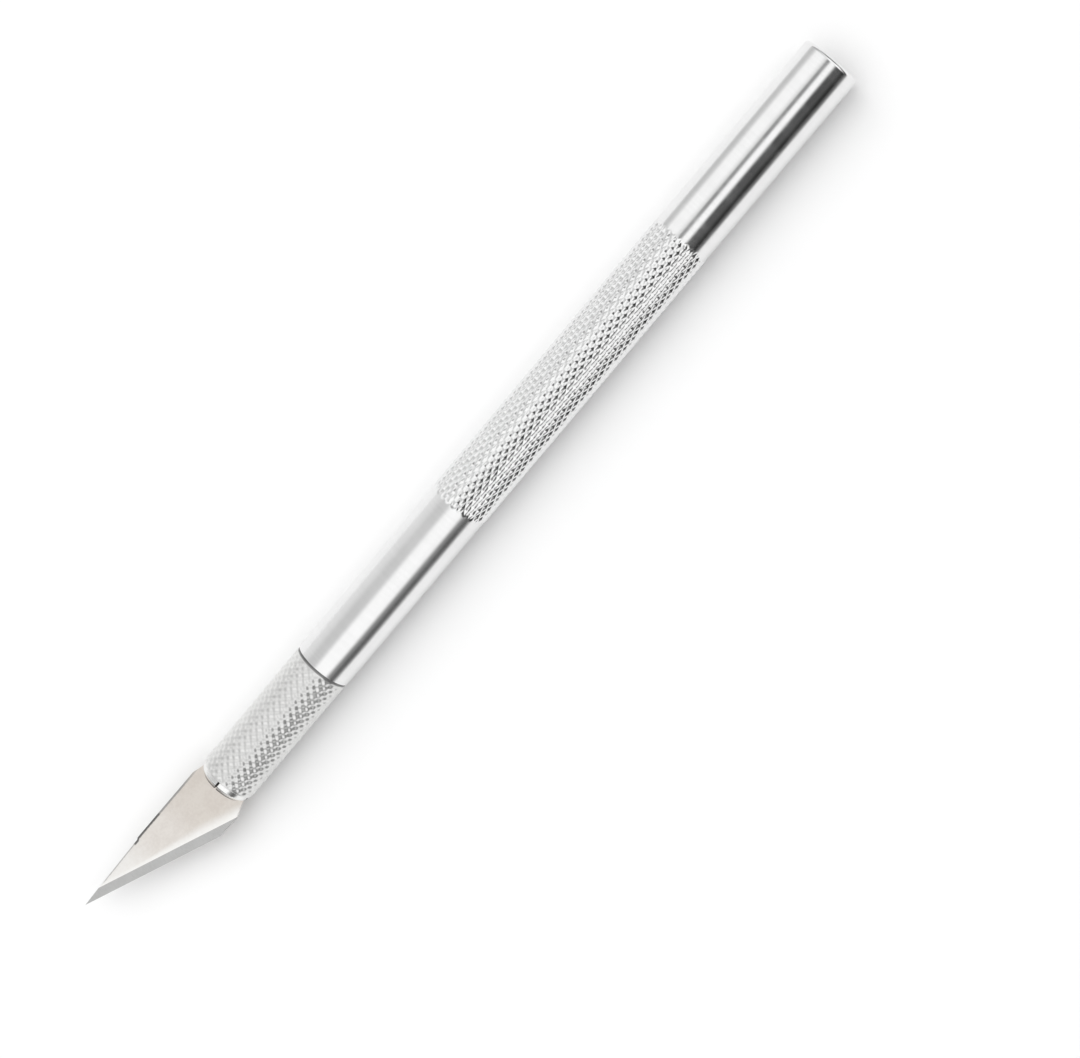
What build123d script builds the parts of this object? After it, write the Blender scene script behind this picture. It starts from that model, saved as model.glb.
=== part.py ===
from build123d import *
import math
import os

# Hobby craft knife: a round barrel with a rolled grip, a clamping collar, a split collet that is
# drawn into the collar's mouth, and a pointed blade held in the collet's slot.
#
# The knife lies along +X. The origin is the centre of the barrel's rear end face, +Z is up, and the
# blade lies flat with its cutting edge towards +Y and its spine towards -Y. All sizes are in mm.

os.makedirs("parts", exist_ok=True)

# Barrel
barrel_radius = 4.0
grip_radius = 4.08          # crests of the rolled diamonds stand a little proud
rear_length = 28.0
grip_length = 44.2
front_length = 27.4
grip_run_out = 0.5
rear_edge_radius = 0.5
seam_edge = 0.12
handle_length = rear_length + grip_length + front_length

# Thread between collet and barrel, M5 x 0.8, drawn as plain cylinders with running clearance
thread_radius = 2.5
thread_clearance = 0.05
thread_length = 10.0
thread_bore_depth = 13.0
thread_lead_in = 0.4
drill_point_slope = math.tan(math.radians(31))

# Collar
collar_radius = 3.94
collar_face_gap = 0.05
collar_length = 19.95
collar_bore_radius = 3.28
collar_mouth_radius = 3.7
collar_mouth_depth = 2.6
collar_front_edge_length = 0.35
collar_front_edge_step = 0.14

# Collet
collet_body_radius = 3.2
collet_nose_radius = 3.62
collet_nose_length = 1.4
collet_nose_edge = 0.4
collet_slot_length = 15.6
blade_slot_width = 0.6
cross_slit_width = 0.3
hub_chamfer = 0.3

# Blade. Distances along it are measured back from the tip, sideways ones from the shank's centre line.
blade_length = 40.0
blade_thickness = 0.5
blade_reach = 25.3          # from the collet's nose to the tip
shank_half_width = 3.15
shank_end = 29.8            # where the shank starts to widen
spine_tip = -3.75
spine_step = 11.8
spine_step_run = 0.35
spine_before_step = -4.0
spine_after_step = -4.15
spine_end = 24.05
spine_end_width = -4.07
heel_corner = 20.0
heel_corner_width = 4.13
heel_back = 23.5
heel_back_width = 4.2
heel_neck = 25.5
heel_neck_width = 3.5
slot_centre = 32.8
slot_length = 5.5
slot_width = 2.7
bevel_width = 1.22          # the ground band runs out at the heel's rear corner
edge_land = 0.04

# Stations along the knife
collar_rear = handle_length + collar_face_gap
collar_front = collar_rear + collar_length
nose_front = collar_front + collet_nose_length
blade_tip = nose_front + blade_reach


# Barrel: one turned bar with a blind threaded bore in its front face
bore_radius = thread_radius + thread_clearance
bore_end = handle_length - thread_bore_depth
grip_start = rear_length
grip_end = rear_length + grip_length

with BuildPart() as handle:
    with BuildSketch(Plane.XZ) as handle_half:
        with BuildLine() as handle_outline:
            Polyline(
                (0, 0),
                (0, barrel_radius),
                (grip_start, barrel_radius),
                (grip_start + grip_run_out, grip_radius),
                (grip_end - grip_run_out, grip_radius),
                (grip_end, barrel_radius),
                (handle_length - seam_edge, barrel_radius),
                (handle_length, barrel_radius - seam_edge),
                (handle_length, bore_radius + thread_lead_in),
                (handle_length - thread_lead_in, bore_radius),
                (bore_end, bore_radius),
                (bore_end - bore_radius * drill_point_slope, 0),
                close=True,
            )
        make_face()
    revolve(axis=Axis.X)
    rear_edge = handle.edges().filter_by(GeomType.CIRCLE).sort_by(Axis.X)[0]
    fillet(rear_edge, rear_edge_radius)
handle.part.label = "handle"
export_step(handle.part, "parts/handle.step")


# Collar: a thin sleeve with a conical mouth for the collet
with BuildPart() as collar:
    with BuildSketch(Plane.XZ) as collar_half:
        with BuildLine() as collar_outline:
            Polyline(
                (collar_rear, collar_bore_radius),
                (collar_rear, collar_radius - seam_edge),
                (collar_rear + seam_edge, collar_radius),
                (collar_front - collar_front_edge_length, collar_radius),
                (collar_front, collar_radius - collar_front_edge_step),
                (collar_front, collar_mouth_radius),
                (collar_front - collar_mouth_depth, collar_bore_radius),
                close=True,
            )
        make_face()
    revolve(axis=Axis.X)
collar.part.label = "collar"
export_step(collar.part, "parts/collar.step")


# Collet: threaded tail, solid hub and four jaws that end in the nose
tail_rear = handle_length - thread_length
slot_rear = nose_front - collet_slot_length

with BuildPart() as collet:
    with BuildSketch(Plane.XZ) as collet_half:
        with BuildLine() as collet_outline:
            Polyline(
                (tail_rear, 0),
                (tail_rear, thread_radius - thread_lead_in),
                (tail_rear + thread_lead_in, thread_radius),
                (collar_rear, thread_radius),
                (collar_rear, collet_body_radius - hub_chamfer),
                (collar_rear + hub_chamfer, collet_body_radius),
                (collar_front - collar_mouth_depth, collet_body_radius),
                (collar_front, collet_nose_radius),
                (nose_front, collet_nose_radius),
                (nose_front, 0),
                close=True,
            )
        make_face()
    revolve(axis=Axis.X)
    nose_edge = collet.edges().filter_by(GeomType.CIRCLE).sort_by(Axis.X)[-1]
    fillet(nose_edge, collet_nose_edge)
    with Locations((slot_rear, 0, 0)):
        Box(
            collet_slot_length + 1,
            3 * collet_nose_radius,
            blade_slot_width,
            align=(Align.MIN, Align.CENTER, Align.CENTER),
            mode=Mode.SUBTRACT,
        )
        Box(
            collet_slot_length + 1,
            cross_slit_width,
            3 * collet_nose_radius,
            align=(Align.MIN, Align.CENTER, Align.CENTER),
            mode=Mode.SUBTRACT,
        )
collet.part.label = "collet"
export_step(collet.part, "parts/collet.step")


# Blade: flat strip with a straight edge ground from both sides
def along(distance, width):
    """A point of the blade's outline, from its distance behind the tip and its sideways place."""
    return (blade_tip - distance, width)


tip = Vector(*along(0, spine_tip))
heel = Vector(*along(heel_corner, heel_corner_width))
edge_direction = (heel - tip).normalized()
edge_length = (heel - tip).length
run_out = 1.0
half_thickness = blade_thickness / 2
bevel_slope = (half_thickness - edge_land / 2) / bevel_width

# Cross-section of what the grinding takes off: x is the distance in from the cutting edge, y is up
grind_start = tip - edge_direction * run_out
grind = Plane(
    origin=(grind_start.X, grind_start.Y, 0),
    x_dir=(-edge_direction.Y, edge_direction.X, 0),
    z_dir=(edge_direction.X, edge_direction.Y, 0),
)
grind_reach = 2 * bevel_width
grind_low = edge_land / 2 - bevel_slope * run_out
grind_high = edge_land / 2 + bevel_slope * grind_reach

with BuildPart() as blade:
    with BuildSketch(Plane.XY.offset(-half_thickness)) as blade_flat:
        with BuildLine() as blade_outline:
            Polyline(
                along(0, spine_tip),
                along(spine_step, spine_before_step),
                along(spine_step + spine_step_run, spine_after_step),
                along(spine_end, spine_end_width),
            )
            Spline(
                along(spine_end, spine_end_width),
                along(shank_end, -shank_half_width),
                tangents=((-1, 0.35), (-1, 0)),
            )
            Polyline(
                along(shank_end, -shank_half_width),
                along(blade_length, -shank_half_width),
                along(blade_length, shank_half_width),
                along(shank_end, shank_half_width),
            )
            Spline(
                along(shank_end, shank_half_width),
                along(heel_neck, heel_neck_width),
                tangents=((1, 0), (1, 0.3)),
            )
            Polyline(
                along(heel_neck, heel_neck_width),
                along(heel_back, heel_back_width),
                along(heel_corner, heel_corner_width),
                along(0, spine_tip),
            )
        make_face()
        with Locations(along(slot_centre, 0)):
            SlotOverall(slot_length, slot_width, mode=Mode.SUBTRACT)
    extrude(amount=blade_thickness)
    for side in (1, -1):
        with BuildSketch(grind) as grind_section:
            with BuildLine() as grind_outline:
                Polyline(
                    (-run_out, side * grind_low),
                    (grind_reach, side * grind_high),
                    (-run_out, side * grind_high),
                    close=True,
                )
            make_face()
        extrude(amount=edge_length + 4 * run_out, mode=Mode.SUBTRACT)
blade.part.label = "blade"
export_step(blade.part, "parts/blade.step")
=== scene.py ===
"""Hobby craft knife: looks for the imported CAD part. Object frame: +X to the blade's tip, +Y to the
cutting edge, +Z up, origin at the centre of the barrel's rear face. Lengths are in metres."""

import math

import bmesh
import bpy
import numpy as np
from mathutils import Matrix, Vector


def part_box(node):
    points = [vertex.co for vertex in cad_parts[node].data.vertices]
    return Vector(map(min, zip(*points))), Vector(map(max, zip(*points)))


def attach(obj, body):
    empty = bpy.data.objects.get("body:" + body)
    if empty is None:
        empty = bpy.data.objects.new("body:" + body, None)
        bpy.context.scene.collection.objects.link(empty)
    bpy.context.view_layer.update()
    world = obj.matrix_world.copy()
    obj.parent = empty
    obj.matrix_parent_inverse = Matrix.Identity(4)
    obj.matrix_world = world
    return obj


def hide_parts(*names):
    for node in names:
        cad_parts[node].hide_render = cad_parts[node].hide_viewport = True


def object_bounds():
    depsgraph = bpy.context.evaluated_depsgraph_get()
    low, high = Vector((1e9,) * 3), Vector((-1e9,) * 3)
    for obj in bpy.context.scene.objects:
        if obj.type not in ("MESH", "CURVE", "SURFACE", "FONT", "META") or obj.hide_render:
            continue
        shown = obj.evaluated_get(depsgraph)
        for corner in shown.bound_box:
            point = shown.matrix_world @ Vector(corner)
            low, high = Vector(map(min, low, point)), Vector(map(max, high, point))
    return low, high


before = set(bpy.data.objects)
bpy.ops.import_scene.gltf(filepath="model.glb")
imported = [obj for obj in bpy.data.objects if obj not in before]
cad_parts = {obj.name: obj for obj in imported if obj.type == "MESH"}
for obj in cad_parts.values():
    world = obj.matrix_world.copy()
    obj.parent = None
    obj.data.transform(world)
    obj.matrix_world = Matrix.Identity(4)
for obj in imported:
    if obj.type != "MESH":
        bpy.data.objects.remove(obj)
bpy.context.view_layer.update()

mm = 0.001
rng = np.random.default_rng(7)

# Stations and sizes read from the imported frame
handle_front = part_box("handle")[1].x
collar_rear, collar_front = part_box("collar")[0].x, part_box("collar")[1].x
collet_rear, nose_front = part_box("collet")[0].x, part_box("collet")[1].x
blade_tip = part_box("blade")[1].x
blade_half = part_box("blade")[1].z
grip_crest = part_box("handle")[1].z
collar_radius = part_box("collar")[1].z
floor_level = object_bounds()[0].z

# Sizes inside the assembly that two pieces share
thread_radius, thread_clearance, thread_lead_in = 2.5 * mm, 0.05 * mm, 0.4 * mm
mouth_depth = 2.6 * mm          # of the collar's cone, which the collet's back cone seats in
sleeve_bore = 3.28 * mm


# ---------------------------------------------------------------- meshes

class Turned:
    """A closed body of revolution about X, made ring by ring. All rings have the same number of
    points, apart from the single point that closes an end. A diamond pattern may fill the stretch
    between two rings."""

    def __init__(self, count):
        self.count = count
        self.points = []
        self.faces = []
        self.rings = []
        self.used = 0
        self.angle = np.arange(count) * 2 * math.pi / count

    def _store(self, points):
        start = self.used
        self.points.append(points)
        self.used += len(points)
        self.rings.append((start, len(points)))

    def _circle(self, x, radii):
        radii = np.broadcast_to(radii, self.angle.shape)
        across, up = radii * np.cos(self.angle), radii * np.sin(self.angle)
        return np.stack([np.full(self.count, x), across, up], 1)

    def ring(self, x, radius):
        """A plain ring, joined to the one before it with quads. Radius 0 closes the end."""
        self._store(np.array([[x, 0, 0]]) if radius == 0 else self._circle(x, radius))
        if len(self.rings) > 1:
            self.join(self.rings[-2], self.rings[-1])

    def join(self, a, b):
        """Faces between two rings, each given as (first point, number of points)."""
        for k in range(self.count):
            after = (k + 1) % self.count
            if a[1] == 1:
                self.faces.append((a[0], b[0] + after, b[0] + k))
            elif b[1] == 1:
                self.faces.append((a[0] + k, a[0] + after, b[0]))
            else:
                self.faces.append((a[0] + k, a[0] + after, b[0] + after, b[0] + k))

    def diamonds(self, x_end, starts, period, crest, depth, fade, profile):
        """Raised diamonds between two families of crossed grooves, from the last ring to x_end. Each
        family has that many starts, and a diamond is one period long. The grid's squares that a
        groove crosses are split along it, so that every groove comes out sharp. The pattern fades
        out over a short way at both ends, and is slightly uneven, as rolled patterns are."""
        cell = self.count // starts
        x_start = self.points[-1][0][0]
        edge_share = 0.4            # how far below the crests the plain ends of the pattern lie
        columns = round((x_end - x_start) / (period / cell))
        dx = (x_end - x_start) / columns
        row = np.arange(self.count)
        first = len(self.rings) - 1
        for i in range(1, columns + 1):
            x = x_start + i * dx
            rise = profile(groove_distance((row + i) / cell), groove_distance((row - i) / cell))
            part = min(max(min(x - x_start, x_end - x) / fade, 0.0), 1.0)
            part = part * part * (3 - 2 * part)
            uneven = 1 + 0.05 * np.sin(self.angle * 2 + x * 900) + 0.04 * math.sin(x * 2300)
            wobble = rng.normal(0.0, 0.0012 * mm, self.count)
            sunk = depth * (1 - rise) * part * uneven + (1 - part) * depth * edge_share
            self._store(self._circle(x, crest - sunk + wobble * part))
        for i in range(columns):
            a, b = self.rings[first + i][0], self.rings[first + i + 1][0]
            for k in range(self.count):
                after = (k + 1) % self.count
                corners = (a + k, a + after, b + after, b + k)
                if (k - i) % cell == 0:
                    self.faces += [corners[:3], (a + k, b + after, b + k)]
                elif (k + i + 1) % cell == 0:
                    self.faces += [(a + k, a + after, b + k), corners[1:]]
                else:
                    self.faces.append(corners)

    def build(self, name, sharp=30):
        return make_mesh(name, np.concatenate(self.points), self.faces, sharp)


def make_mesh(name, points, faces, sharp=30):
    """A new object from points and faces. Edges that bend by more than sharp degrees stay sharp."""
    mesh = bpy.data.meshes.new(name)
    mesh.from_pydata([tuple(p) for p in points], [], faces)
    mesh.validate()
    finish_shading(mesh, sharp)
    piece = bpy.data.objects.new(name, mesh)
    bpy.context.scene.collection.objects.link(piece)
    return piece


def finish_shading(mesh, sharp):
    mesh.polygons.foreach_set("use_smooth", [True] * len(mesh.polygons))
    mesh.set_sharp_from_angle(angle=math.radians(sharp))


def groove_distance(t):
    """0 on a groove and 1 half-way between two grooves."""
    return 1 - np.abs(2 * (t - np.floor(t)) - 1)


def pyramid(a, b):
    """Height of a raised diamond with flat flanks, sharp grooves and rounded ridges, from its
    distances to the grooves on two sides."""
    softness = 0.45
    return 0.5 * (a + b + softness - np.sqrt((a - b) ** 2 + softness ** 2))


def pillow(a, b):
    """Height of a softly rolled diamond, rounded in the grooves too."""
    return 0.5 - 0.25 * (np.cos(math.pi * a) + np.cos(math.pi * b))


def place(piece, body, node):
    """Tie a piece to its body, and hide the CAD node it stands for."""
    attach(piece, body)
    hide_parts(node)
    return piece


# ---------------------------------------------------------------- handle

barrel_radius = 4.0 * mm
rear_edge_radius = 0.5 * mm
grip_start, grip_end = 28.0 * mm, 72.2 * mm
grip_starts, grip_cell = 27, 10         # diamonds round the barrel, and mesh points across each
grip_period, grip_depth, grip_fade = 1.66 * mm, 0.190 * mm, 0.8 * mm
seam_edge = 0.12 * mm
bore_depth, drill_point_depth = 13.0 * mm, 14.5 * mm


def build_handle():
    """Plain polished ends, the rolled grip between them, and the bore that takes the collet."""
    body = Turned(grip_starts * grip_cell)
    body.ring(0, 0)
    for share in (0.3, 0.6, 0.85):
        body.ring(0, (barrel_radius - rear_edge_radius) * share)
    for step in range(9):
        a = math.pi / 2 * step / 8
        body.ring(rear_edge_radius * (1 - math.cos(a)),
                  barrel_radius - rear_edge_radius * (1 - math.sin(a)))
    for x in (6 * mm, 14 * mm, 22 * mm, grip_start - 0.1 * mm, grip_start):
        body.ring(x, barrel_radius)
    body.diamonds(grip_end, grip_starts, grip_period, grip_crest, grip_depth, grip_fade, pyramid)
    for x in (grip_end + 0.1 * mm, 78 * mm, 86 * mm, 93 * mm):
        body.ring(x, barrel_radius)
    for step in range(4):
        a = math.pi / 2 * step / 3
        body.ring(handle_front - seam_edge * (1 - math.sin(a)),
                  barrel_radius - seam_edge * (1 - math.cos(a)))
    bore_radius = thread_radius + thread_clearance
    bore_mouth = bore_radius + thread_lead_in
    body.ring(handle_front, bore_mouth + 0.35 * mm)
    body.ring(handle_front, bore_mouth)
    body.ring(handle_front - thread_lead_in, bore_radius)
    body.ring(handle_front - bore_depth, bore_radius)
    body.ring(handle_front - drill_point_depth, 0)
    return place(body.build("knife_handle", 22), "handle", "handle")


handle = build_handle()


# ---------------------------------------------------------------- collar

collar_starts, collar_cell = 20, 12     # diamonds round the collar, and mesh points across each
collar_period, collar_depth, collar_fade = 1.20 * mm, 0.18 * mm, 0.35 * mm


def build_collar():
    """A sleeve with a finer rolled pattern, a bevel at the seam, a rounded front edge and a conical
    mouth."""
    edge_length, edge_rounding, edge_step = 0.12 * mm, 0.08 * mm, 0.06 * mm
    bevel_length, bevel_outer, bevel_inner = 0.2 * mm, 0.09 * mm, 0.26 * mm
    mouth_radius, mouth_edge, mouth_edge_length = 3.64 * mm, 0.04 * mm, 0.05 * mm
    sleeve = Turned(collar_starts * collar_cell)
    sleeve.ring(collar_rear, sleeve_bore)
    sleeve.ring(collar_rear, collar_radius - bevel_inner)
    sleeve.ring(collar_rear + bevel_length, collar_radius - bevel_outer)
    sleeve.diamonds(collar_front - edge_length, collar_starts, collar_period, collar_radius,
                    collar_depth, collar_fade, pillow)
    for step in range(1, 5):
        a = math.pi / 2 * step / 4
        sleeve.ring(collar_front - edge_length * (1 - math.sin(a)),
                    collar_radius - edge_step - edge_rounding * (1 - math.cos(a)))
    sleeve.ring(collar_front, mouth_radius + mouth_edge)
    sleeve.ring(collar_front - mouth_edge_length, mouth_radius)
    sleeve.ring(collar_front - mouth_depth, sleeve_bore)
    sleeve.join(sleeve.rings[-1], sleeve.rings[0])
    return place(sleeve.build("knife_collar", 40), "collar", "collar")


collar = build_collar()


# ---------------------------------------------------------------- collet

def box_cutter(x0, x1, half_y, half_z):
    """A box from x0 to x1, centred on the knife's axis."""
    corners = [(x, y, z) for x in (x0, x1) for y in (-half_y, half_y) for z in (-half_z, half_z)]
    faces = [(0, 1, 3, 2), (4, 6, 7, 5), (0, 4, 5, 1), (2, 3, 7, 6), (0, 2, 6, 4), (1, 5, 7, 3)]
    return make_mesh("cutter", corners, faces)


def cut(piece, cutter):
    """Take the cutter's volume away from the piece, and delete the cutter."""
    modifier = piece.modifiers.new("cut", "BOOLEAN")
    modifier.operation = "DIFFERENCE"
    modifier.solver = "EXACT"
    modifier.object = cutter
    graph = bpy.context.evaluated_depsgraph_get()
    mesh = bpy.data.meshes.new_from_object(piece.evaluated_get(graph))
    piece.modifiers.clear()
    piece.data = mesh
    bpy.data.objects.remove(cutter)


hub_radius, hub_chamfer = 3.2 * mm, 0.3 * mm
nose_radius = 3.62 * mm
slot_half, slit_half = 0.3 * mm, 0.15 * mm      # the blade's slot and the slit across it
slot_depth = 15.6 * mm


def build_collet():
    """Threaded tail, hub and four jaws: turned in one piece, then sawn twice from the nose."""
    jaws = Turned(192)
    jaws.ring(collet_rear, 0)
    jaws.ring(collet_rear, thread_radius - thread_lead_in)
    jaws.ring(collet_rear + thread_lead_in, thread_radius)
    jaws.ring(collar_rear, thread_radius)
    jaws.ring(collar_rear, hub_radius - hub_chamfer)
    jaws.ring(collar_rear + hub_chamfer, hub_radius)
    jaws.ring(collar_front - mouth_depth, hub_radius)
    jaws.ring(collar_front, nose_radius)
    # the nose's rounded edge, as (distance behind its front, drop below its radius) in mm
    for back, down in ((0.95, 0.0), (0.80, 0.01), (0.72, 0.03), (0.65, 0.07), (0.58, 0.13),
                       (0.18, 0.56), (0.10, 0.66), (0.04, 0.76), (0.0, 0.88)):
        jaws.ring(nose_front - back * mm, nose_radius - down * mm)
    jaws.ring(nose_front, 1.6 * mm)     # an extra ring, to keep the front face's quads short
    jaws.ring(nose_front, 0)
    piece = jaws.build("knife_collet")
    slot_rear, past_nose, past_side = nose_front - slot_depth, nose_front + 1 * mm, 5 * mm
    cut(piece, box_cutter(slot_rear, past_nose, past_side, slot_half))
    cut(piece, box_cutter(slot_rear, past_nose, slit_half, past_side))
    finish_shading(piece.data, 25)
    return place(piece, "collet", "collet")


collet = build_collet()


# ---------------------------------------------------------------- blade

# Places on the blade are (distance behind the tip, sideways place), in mm
tip_corner = (0.0, -3.75)
heel_corner = (20.0, 4.13)
heel_back, neck = (23.5, 4.2), (25.5, 3.5)
spine_corners = (tip_corner, (11.8, -4.0), (12.15, -4.15), (24.05, -4.07))
shank_start, shank_half = 29.8, 3.15
spine_slope, neck_slope = 0.35, -0.275      # of the two sides where they start to narrow
blade_length, rear_corner = 40.0, 0.2
tip_width, broken_corner = 0.02, 0.035
edge_rise = (heel_corner[1] - tip_corner[1]) / (heel_corner[0] - tip_corner[0])
edge_slope = math.atan(edge_rise)
bevel_width = 1.22
roll_off = 0.9                  # width of the gentle fall of the flat towards the ground band
edge_land = 0.04
half_thickness = blade_half / mm


def straight(d, corners):
    """Straight lines from corner to corner."""
    return float(np.interp(d, *zip(*corners)))


def eased(d, d0, y0, d1, y1, slope):
    """From y0 to y1, leaving y0 at a slope and arriving level."""
    t = min(max((d - d0) / (d1 - d0), 0.0), 1.0)
    return y0 + (y1 - y0) * t * t * (3 - 2 * t) + slope * (d1 - d0) * t * (1 - t) ** 2


def spine_at(d):
    """Sideways place of the spine: two straight stretches with a step between them, then the shank."""
    if d < spine_corners[-1][0]:
        return straight(d, spine_corners)
    return eased(d, *spine_corners[-1], shank_start, -shank_half, spine_slope)


def edge_at(d):
    """Sideways place of the other side: cutting edge, heel, neck and shank."""
    if d < neck[0]:
        return straight(d, (tip_corner, heel_corner, heel_back, neck))
    return eased(d, *neck, shank_start, shank_half, neck_slope)


def half_height(d, y):
    """Half the thickness at a place: the ground band, a slight roll-off beside it, then flat."""
    drop = 0.017
    inward = (tip_corner[1] + edge_rise * d - y) * math.cos(edge_slope)
    if inward < bevel_width:
        slope = (half_thickness - drop - edge_land / 2) / bevel_width
        return edge_land / 2 + slope * max(inward, 0.0)
    if inward < bevel_width + roll_off:
        return half_thickness - drop * (1 - (inward - bevel_width) / roll_off) ** 2
    return half_thickness


def blade_section(d):
    """Points round the blade at one distance behind the tip, with slightly broken corners. Every
    section has the same number of points: three across the flat, six across the roll-off and four
    across the ground band, which shrink together towards the tip."""
    spine = spine_at(d)
    edge = max(edge_at(d), spine + tip_width)
    cut_back = max(d - (blade_length - rear_corner), 0.0)
    spine, edge = spine + cut_back, edge - cut_back
    corner = min(broken_corner, (edge - spine) * 0.2)
    outer = edge if d < heel_corner[0] else edge - corner
    first, width = spine + corner, outer - spine - corner
    inner = tip_corner[1] + edge_rise * d - bevel_width / math.cos(edge_slope)
    inner = min(max(inner, first + 0.3 * width), outer - 0.03 * width)
    reach = min(roll_off / math.cos(edge_slope), (inner - first) * 0.35)
    across = [first + (inner - reach - first) * t for t in (0, 0.33, 0.67)]
    across += [inner - reach * t for t in (1, 0.8, 0.6, 0.4, 0.2, 0)]
    across += [inner + (outer - inner) * t for t in (0.25, 0.5, 0.75, 1)]
    top = [(y, half_height(d, y)) for y in across]
    spine_z = half_height(d, spine)
    edge_z = half_height(d, edge)
    drop = min(corner, spine_z * 0.5)
    upper = [(spine, spine_z - drop), (spine + corner * 0.3, spine_z - drop * 0.3)] + top
    if d >= heel_corner[0]:
        drop = min(corner, edge_z * 0.5)
        upper += [(edge - corner * 0.3, edge_z - drop * 0.3), (edge, edge_z - drop)]
    else:
        upper += [(edge, edge_z), (edge, edge_z * 0.5)]
    return upper + [(y, -z) for y, z in reversed(upper)]


def build_blade():
    """The blade, drawn section by section, with the long hole through its shank."""
    stations = [0.0, 0.1, 0.3, *np.arange(0.6, 11.7, 0.3), 11.8, 11.9, 12.0, 12.15]
    stations += [*np.arange(12.5, 19.9, 0.5), 19.99, 20.0, *np.arange(20.35, 23.4, 0.35), 23.5]
    stations += [*np.arange(23.7, 30.0, 0.2), *range(31, 37), 38.0, 39.8, 39.9, 40.0]
    loops = [blade_section(float(d)) for d in stations]
    count = len(loops[0])
    points = [(blade_tip - d * mm, y * mm, z * mm)
              for d, loop in zip(stations, loops) for y, z in loop]
    faces = []
    for i in range(len(stations) - 1):
        a, b = i * count, (i + 1) * count
        for k in range(count):
            after = (k + 1) % count
            faces.append((a + k, b + k, b + after, a + after))
    faces.append(tuple(range(count)))
    faces.append(tuple(range(len(points) - 1, len(points) - 1 - count, -1)))
    piece = make_mesh("knife_blade", points, faces, 8)
    tidy = bmesh.new()
    tidy.from_mesh(piece.data)
    bmesh.ops.remove_doubles(tidy, verts=tidy.verts, dist=1e-8)
    bmesh.ops.dissolve_degenerate(tidy, edges=tidy.edges, dist=1e-8)
    bmesh.ops.recalc_face_normals(tidy, faces=tidy.faces)
    tidy.to_mesh(piece.data)
    tidy.free()
    cut(piece, hole_cutter())
    finish_shading(piece.data, 8)
    return place(piece, "blade", "blade")


def hole_cutter():
    """A long-hole plug that stands through the shank. Its outline is laid out in mm."""
    centre, half, radius, count = 32.8, 1.4, 1.35, 48
    outline = []
    for k in range(count):
        a = 2 * math.pi * (k + 0.5) / count
        side = math.copysign(half, math.cos(a))
        along = centre + side + radius * math.cos(a)
        outline.append((blade_tip - along * mm, radius * math.sin(a) * mm))
    points = [(x, y, z) for z in (-1 * mm, 1 * mm) for x, y in outline]
    faces = [tuple(range(count)), tuple(range(2 * count - 1, count - 1, -1))]
    faces += [(k, count + k, count + (k + 1) % count, (k + 1) % count) for k in range(count)]
    return make_mesh("hole", points, faces)


blade = build_blade()


# ---------------------------------------------------------------- materials

class Nodes:
    """Small helper that keeps node graphs readable. A value is either a number or another node's
    output."""

    def __init__(self, tree):
        self.tree = tree
        tree.nodes.clear()

    def new(self, kind, **inputs):
        node = self.tree.nodes.new(kind)
        for key, value in inputs.items():
            self.put(node, key.replace("_", " "), value)
        return node

    def put(self, node, socket, value):
        target = node.inputs[socket] if socket in node.inputs else node.inputs[int(socket)]
        if isinstance(value, bpy.types.NodeSocket):
            self.tree.links.new(value, target)
        else:
            target.default_value = value

    def math(self, operation, a, b=0.0):
        node = self.tree.nodes.new("ShaderNodeMath")
        node.operation = operation
        for k, value in enumerate((a, b)):
            if isinstance(value, bpy.types.NodeSocket):
                self.tree.links.new(value, node.inputs[k])
            else:
                node.inputs[k].default_value = value
        return node.outputs[0]

    def ramp(self, value, low, high, to_low=0.0, to_high=1.0, kind="SMOOTHSTEP"):
        """Smooth change from to_low to_high as value goes from low to high."""
        node = self.new("ShaderNodeMapRange")
        node.interpolation_type = kind
        for socket, number in (("Value", value), ("From Min", low), ("From Max", high),
                               ("To Min", to_low), ("To Max", to_high)):
            self.put(node, socket, number)
        return node.outputs["Result"]

    def steady(self, value, low, high, to_low, to_high):
        """The same in a straight line."""
        return self.ramp(value, low, high, to_low, to_high, "LINEAR")

    def axes(self):
        """Object coordinates, one output for each axis."""
        coords = self.new("ShaderNodeTexCoord")
        return self.new("ShaderNodeSeparateXYZ", Vector=coords.outputs["Object"])

    def stretched(self, scale):
        """Object coordinates scaled per axis, for patterns drawn out in one direction."""
        coords = self.new("ShaderNodeTexCoord")
        mapping = self.new("ShaderNodeMapping", Scale=scale)
        self.tree.links.new(coords.outputs["Object"], mapping.inputs["Vector"])
        return mapping.outputs["Vector"]

    def noise(self, vector, scale, detail=3.0):
        node = self.new("ShaderNodeTexNoise", Vector=vector, Scale=scale, Detail=detail,
                        Roughness=0.55)
        return node.outputs["Fac"]

    def mix(self, share, a, b):
        node = self.tree.nodes.new("ShaderNodeMix")
        node.data_type = "RGBA"
        self.put(node, "0", share)
        for index, value in ((6, a), (7, b)):
            if isinstance(value, bpy.types.NodeSocket):
                self.tree.links.new(value, node.inputs[index])
            else:
                node.inputs[index].default_value = value
        return node.outputs[2]

    def bump(self, height, distance):
        node = self.new("ShaderNodeBump", Strength=1.0, Distance=distance, Height=height)
        return node.outputs["Normal"]


def new_material(name):
    material = bpy.data.materials.new(name)
    material.use_nodes = True
    return material, Nodes(material.node_tree)


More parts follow.
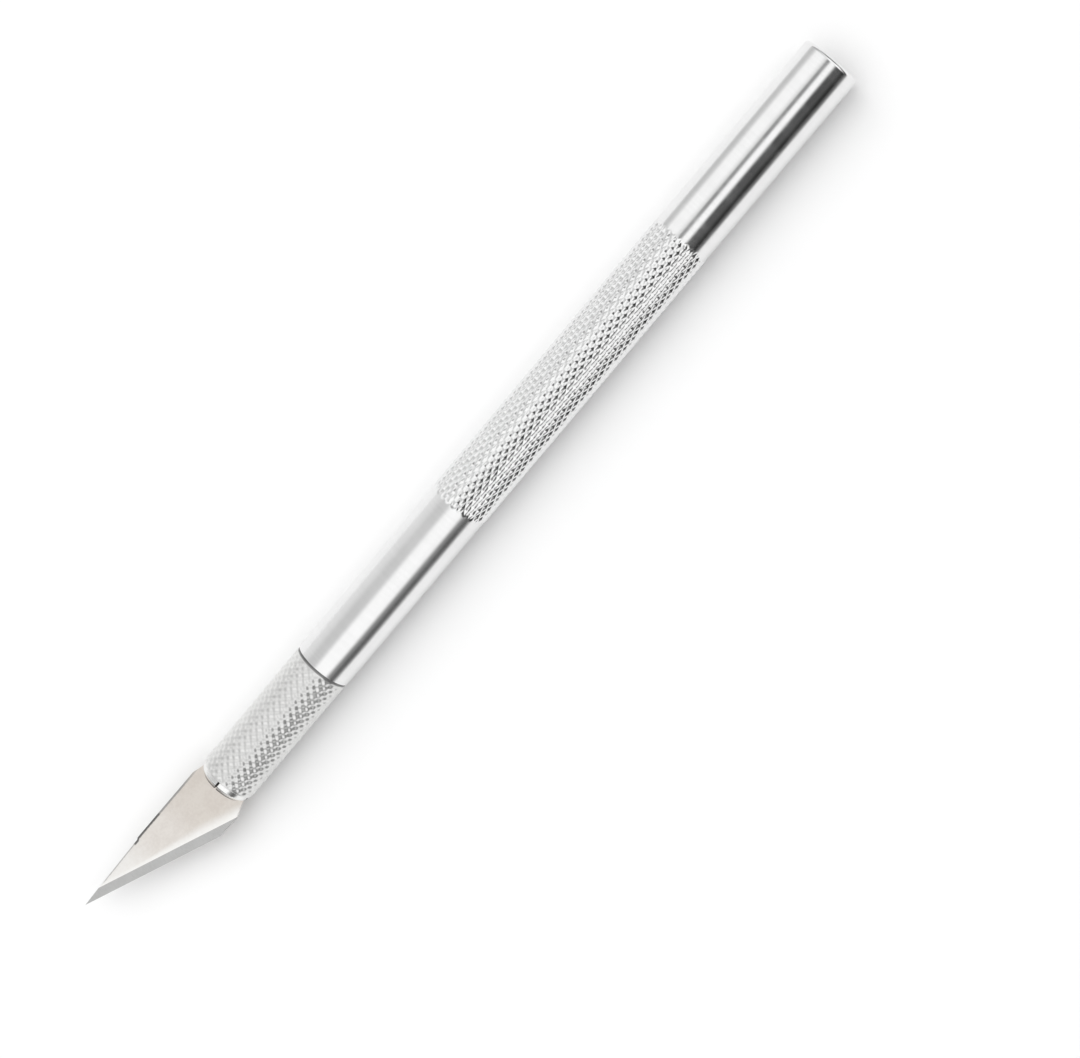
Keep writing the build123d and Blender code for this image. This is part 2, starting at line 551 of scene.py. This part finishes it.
def finish_metal(n, colour, roughness, normal, anisotropic=0.0, tangent=None):
    """Bring a metal's colour, roughness and bump together in its shader."""
    shader = n.new("ShaderNodeBsdfPrincipled")
    n.put(shader, "Base Color", colour)
    n.put(shader, "Metallic", 1.0)
    n.put(shader, "Roughness", roughness)
    n.put(shader, "Normal", normal)
    if anisotropic:
        n.put(shader, "Anisotropic", anisotropic)
        n.put(shader, "Tangent", tangent)
    out = n.new("ShaderNodeOutputMaterial")
    n.tree.links.new(shader.outputs[0], out.inputs["Surface"])


def turned_metal(name, light, dark, smooth_low, smooth_high, mark_depth, sawn=False, seam=False):
    """Turned aluminium: fine rings round the axis, a faint uneven tone and small handling marks. The
    colour lies between light and dark and the roughness between the two smooth values. With sawn set,
    the sides of the slot and the nose's front end are rougher and painted dark as painted shade, for the
    shade in the slot and in the gap before the blade. With seam set, the bevel at a seam is rougher
    and painted dark as painted shade, for the shade that falls between the two parts."""
    material, n = new_material(name)
    rings = n.noise(n.stretched((1.0, 0.012, 0.012)), 9000.0, 2.0)
    broad = n.noise(n.stretched((1.0, 0.05, 0.05)), 900.0, 3.0)
    cloud = n.noise(n.stretched((1.0, 1.0, 1.0)), 260.0, 4.0)
    tone = n.math("ADD", n.math("MULTIPLY", rings, 0.5), n.math("MULTIPLY", cloud, 0.5))
    colour = n.mix(n.ramp(tone, 0.3, 0.7), dark, light)
    rough = n.ramp(n.math("ADD", n.math("MULTIPLY", broad, 0.6), n.math("MULTIPLY", cloud, 0.4)),
                   0.3, 0.7, smooth_low, smooth_high)
    if sawn:
        # painted shade: the slot's sides and the nose's front face are painted dark, where shade falls
        # in the slot and in the gap before the blade
        axes = n.axes()
        near, on = 0.015 * mm, 0.003 * mm
        across = n.ramp(n.math("ABSOLUTE", axes.outputs["Y"]), slit_half + near, slit_half + on)
        level = n.ramp(n.math("ABSOLUTE", axes.outputs["Z"]), slot_half + near, slot_half + on)
        front_shade = n.ramp(axes.outputs["X"], nose_front - 0.38 * mm, nose_front - 0.24 * mm, 0.0, 0.9)
        slot_shade = n.math("MAXIMUM", n.math("MAXIMUM", across, level), front_shade)
        colour = n.mix(slot_shade, colour, (0.16, 0.16, 0.16, 1))
        rough = n.math("MAXIMUM", rough, n.math("MULTIPLY", slot_shade, 0.5))
    if seam:
        # painted shade: a dark ring on the collar's rear bevel, where shade falls in the seam between
        # collar and handle
        seam_shade = n.ramp(n.axes().outputs["X"], collar_rear + 0.42 * mm, collar_rear + 0.20 * mm, 0.0, 0.8)
        colour = n.mix(seam_shade, colour, (0.12, 0.12, 0.12, 1))
        rough = n.math("MAXIMUM", rough, n.math("MULTIPLY", seam_shade, 0.5))
    height = n.math("ADD", rings, n.math("MULTIPLY", broad, 0.8))
    normal = n.bump(height, mark_depth)
    tangent = n.new("ShaderNodeTangent")
    tangent.direction_type = "RADIAL"
    tangent.axis = "X"
    finish_metal(n, colour, rough, normal, 0.4, tangent.outputs[0])
    return material


def blade_metal():
    """Satin blade steel. Painted reflection makes the flat lighter towards the tip and a painted
    highlight lies beside the smooth ground band along the cutting edge; a rougher, darker strip runs
    along the spine."""
    material, n = new_material("blade_steel")
    coords = n.new("ShaderNodeTexCoord").outputs["Object"]
    axes = n.new("ShaderNodeSeparateXYZ", Vector=coords)
    # distances behind the tip, in from the cutting edge and in from the spine, all in mm
    behind = n.math("MULTIPLY", n.math("SUBTRACT", blade_tip, axes.outputs["X"]), 1 / mm)
    side = n.math("MULTIPLY", axes.outputs["Y"], 1 / mm)
    inward = n.math("SUBTRACT", n.math("MULTIPLY", behind, math.sin(edge_slope)),
                    n.math("MULTIPLY", n.math("SUBTRACT", side, tip_corner[1]), math.cos(edge_slope)))
    spine = tip_corner[1]
    for (start, y_start), (stop, y_stop) in zip(spine_corners, spine_corners[1:]):
        spine = n.math("ADD", n.steady(behind, start, stop, 0.0, y_stop - y_start), spine)
    from_spine = n.math("SUBTRACT", side, spine)

    along = n.noise(n.stretched((0.06, 1.0, 1.0)), 7000.0, 3.0)
    cloud = n.noise(n.stretched((0.6, 1.0, 1.0)), 420.0, 4.0)
    grain = n.noise(n.stretched((1.0, 1.0, 1.0)), 2600.0, 3.0)
    across_map = n.new("ShaderNodeMapping", Rotation=(0, 0, -edge_slope), Scale=(1.0, 0.04, 1.0))
    n.tree.links.new(coords, across_map.inputs["Vector"])
    across = n.noise(across_map.outputs["Vector"], 12000.0, 3.0)

    # the flat carries painted reflection: pale at the tip, a warm grey that deepens backwards, and a
    # painted highlight beside the ground band that widens towards the heel
    tone = n.math("ADD", n.math("MULTIPLY", grain, 0.4), n.math("MULTIPLY", cloud, 0.6))
    tone = n.ramp(tone, 0.35, 0.65)
    middle = n.mix(tone, (0.80, 0.755, 0.71, 1), (0.87, 0.83, 0.785, 1))
    painted_light_tone = n.mix(tone, (0.93, 0.915, 0.885, 1), (0.98, 0.97, 0.95, 1))
    rear = n.mix(tone, (0.72, 0.665, 0.61, 1), (0.79, 0.74, 0.685, 1))
    middle = n.mix(n.ramp(behind, 15.0, 21.0), middle, rear)
    painted_highlight = n.ramp(inward, n.steady(behind, 11.0, 20.0, 1.9, 2.9), 1.5)
    # painted light: where the painted reflection near the tip and the painted highlight lie
    away = n.math("MAXIMUM", n.ramp(behind, 8.0, 14.0, 0.8, 0.0), painted_highlight)
    flat = n.mix(away, middle, painted_light_tone)
    # the ground band
    ground = n.ramp(inward, bevel_width + 0.03, bevel_width - 0.03)
    band = n.mix(n.ramp(across, 0.3, 0.7), (0.44, 0.44, 0.435, 1), (0.49, 0.49, 0.485, 1))
    colour = n.mix(ground, flat, band)
    # a darker strip along the spine, darkest and rougher half-way along
    ragged = n.math("ADD", from_spine, n.math("MULTIPLY", n.math("SUBTRACT", grain, 0.5), 0.12))
    coarse = n.math("MULTIPLY", n.ramp(behind, 10.9, 11.3), n.ramp(behind, 16.9, 16.5))
    fading = n.math("MULTIPLY", n.ramp(behind, 16.5, 16.9), n.ramp(behind, 27.0, 21.0))
    thin = n.math("MULTIPLY", n.ramp(behind, 3.5, 5.0), n.ramp(behind, 11.3, 10.9))
    coarse = n.math("MULTIPLY", coarse, n.ramp(ragged, 0.38, 0.20, 0.0, 0.9))
    fading = n.math("MULTIPLY", fading, n.ramp(ragged, 0.34, 0.20, 0.0, 0.9))
    thin = n.math("MULTIPLY", thin, n.ramp(ragged, 0.24, 0.10, 0.0, 0.6))
    colour = n.mix(n.math("MAXIMUM", fading, thin), colour, (0.34, 0.335, 0.33, 1))
    colour = n.mix(coarse, colour, (0.10, 0.10, 0.10, 1))

    rough = n.math("ADD", n.ramp(cloud, 0.3, 0.7, 0.28, 0.36), n.math("MULTIPLY", coarse, 0.15))
    lines = n.math("ADD", n.math("MULTIPLY", along, n.math("SUBTRACT", 1.0, ground)),
                   n.math("MULTIPLY", across, n.math("MULTIPLY", ground, 0.4)))
    finish_metal(n, colour, rough, n.bump(lines, 0.0025 * mm))
    return material


handle_metal = turned_metal("handle_aluminium", (0.85, 0.85, 0.85, 1), (0.80, 0.80, 0.80, 1),
                            0.11, 0.17, 0.0010 * mm)
# seam=True paints shade onto the collar's rear bevel, at the seam
collar_metal = turned_metal("collar_aluminium", (0.81, 0.81, 0.80, 1), (0.74, 0.74, 0.73, 1),
                            0.28, 0.34, 0.0015 * mm, seam=True)
# sawn=True paints shade into the collet's slot and onto its front face
collet_metal = turned_metal("collet_aluminium", (0.87, 0.87, 0.86, 1), (0.82, 0.82, 0.81, 1),
                            0.11, 0.16, 0.0010 * mm, sawn=True)

handle.data.materials.append(handle_metal)
collar.data.materials.append(collar_metal)
collet.data.materials.clear()
collet.data.materials.append(collet_metal)
blade.data.materials.append(blade_metal())


# ---------------------------------------------------------------- floor and light

knife_middle = 0.07


def build_floor():
    """A wide pale floor under the knife."""
    bpy.ops.mesh.primitive_plane_add(size=12.0, location=(knife_middle, 0, floor_level))
    floor = bpy.context.object
    floor.name = "floor"
    material, n = new_material("pale_floor")
    shader = n.new("ShaderNodeBsdfPrincipled")
    n.put(shader, "Base Color", (0.915, 0.915, 0.915, 1))
    n.put(shader, "Roughness", 0.9)
    n.put(shader, "Specular IOR Level", 0.1)
    out = n.new("ShaderNodeOutputMaterial")
    n.tree.links.new(shader.outputs[0], out.inputs["Surface"])
    floor.data.materials.append(material)


def build_light():
    """A pale studio tent and a soft box. The tent's brightness depends on direction: white overhead,
    a darker opening on the cutting-edge side, greyer low down on the other side."""
    world = bpy.data.worlds.new("studio")
    bpy.context.scene.world = world
    world.use_nodes = True
    n = Nodes(world.node_tree)
    direction = n.new("ShaderNodeTexCoord").outputs["Generated"]
    axes = n.new("ShaderNodeSeparateXYZ", Vector=direction)
    x, y, z = (axes.outputs[k] for k in range(3))
    # tilt from straight up, in degrees, positive towards the cutting edge
    tilt = n.math("MULTIPLY", n.math("ARCTAN2", y, z), 180 / math.pi)

    def levels(stops):
        """Brightness by tilt, from a few (tilt, brightness) stops."""
        ramp = n.tree.nodes.new("ShaderNodeValToRGB")
        ramp.color_ramp.interpolation = "EASE"
        keys = ramp.color_ramp.elements
        while len(keys) < len(stops):
            keys.new(0.5)
        for key, (angle, level) in zip(keys, stops):
            key.position = (angle + 180) / 360
            key.color = (level, level, level, 1)
        n.put(ramp, "Fac", n.math("DIVIDE", n.math("ADD", tilt, 180), 360))
        return ramp.outputs["Color"]

    # what the rear half mirrors, what the front half mirrors, and what steep flanks mirror
    above_rear = levels([(-90, 0.74), (-77, 0.60), (-70, 0.68), (-52, 1.10), (-24, 1.12),
                         (-9, 0.88), (-4, 0.30), (3, 0.30), (11, 1.12), (24, 1.15),
                         (36, 0.08), (55, 0.09), (70, 0.02), (82, 0.15), (90, 0.60)])
    above_front = levels([(-90, 0.92), (-70, 0.84), (-38, 0.66), (-20, 0.68), (1, 1.15),
                          (40, 1.15), (58, 0.26), (72, 0.12), (79, 0.16), (89, 0.60)])
    above_ends = levels([(-90, 0.45), (-70, 0.50), (-45, 0.78), (-25, 0.85), (0, 1.10), (50, 1.10),
                         (66, 0.55), (78, 0.07), (91, 0.07)])
    value = n.mix(n.ramp(x, 0.04, 0.22), above_rear, above_front)
    value = n.mix(n.math("ADD", n.ramp(x, -0.22, -0.28), n.ramp(x, 0.50, 0.62)), value, above_ends)
    # the tent's two ends are open, and dark
    ends = n.ramp(n.math("ABSOLUTE", x), 0.80, 0.97, 1.0, 0.04)
    value = n.math("MULTIPLY", value, ends)
    # plain pale backdrop for the camera, so that a level view shows no bands
    seen = n.new("ShaderNodeLightPath").outputs["Is Camera Ray"]
    value = n.math("ADD", n.math("MULTIPLY", value, n.math("SUBTRACT", 1.0, seen)), seen)
    background = n.new("ShaderNodeBackground", Color=(1.0, 1.0, 1.0, 1.0), Strength=value)
    out = n.new("ShaderNodeOutputWorld")
    n.tree.links.new(background.outputs[0], out.inputs["Surface"])

    # a wide soft box over the table, high on the spine's side
    lamp = bpy.data.lights.new("soft_box", "AREA")
    lamp.shape = "DISK"
    lamp.size = 1.5
    lamp.energy = 6.2
    box = bpy.data.objects.new("soft_box", lamp)
    box.location = (0.03, -0.44, 1.0)
    aim = Vector((knife_middle, 0, 0)) - box.location
    box.rotation_euler = aim.to_track_quat("-Z", "Y").to_euler()
    box.visible_glossy = False
    bpy.context.scene.collection.objects.link(box)


build_floor()
build_light()
bpy.context.scene.view_settings.view_transform = "Standard"


# ---------------------------------------------------------------- camera

# The camera's place, its lens and its right, down and back directions come from fitting it to the
# knife's outlines in the photo.
camera = bpy.data.objects.new("camera", bpy.data.cameras.new("camera"))
bpy.context.scene.collection.objects.link(camera)
camera.data.sensor_width = 36.0
camera.data.lens = 78.14
camera.data.clip_start, camera.data.clip_end = 0.01, 20.0
right = Vector((-0.63770345, 0.74122914, -0.2095559))
down = Vector((0.74867644, 0.6604206, 0.05769081))
back = Vector((-0.18115714, 0.12009994, 0.97609328))
turn = Matrix((right, -down, back)).transposed()
camera.matrix_world = Matrix.Translation(Vector((13.699, 45.534, 288.997)) * mm) @ turn.to_4x4()
bpy.context.scene.camera = camera
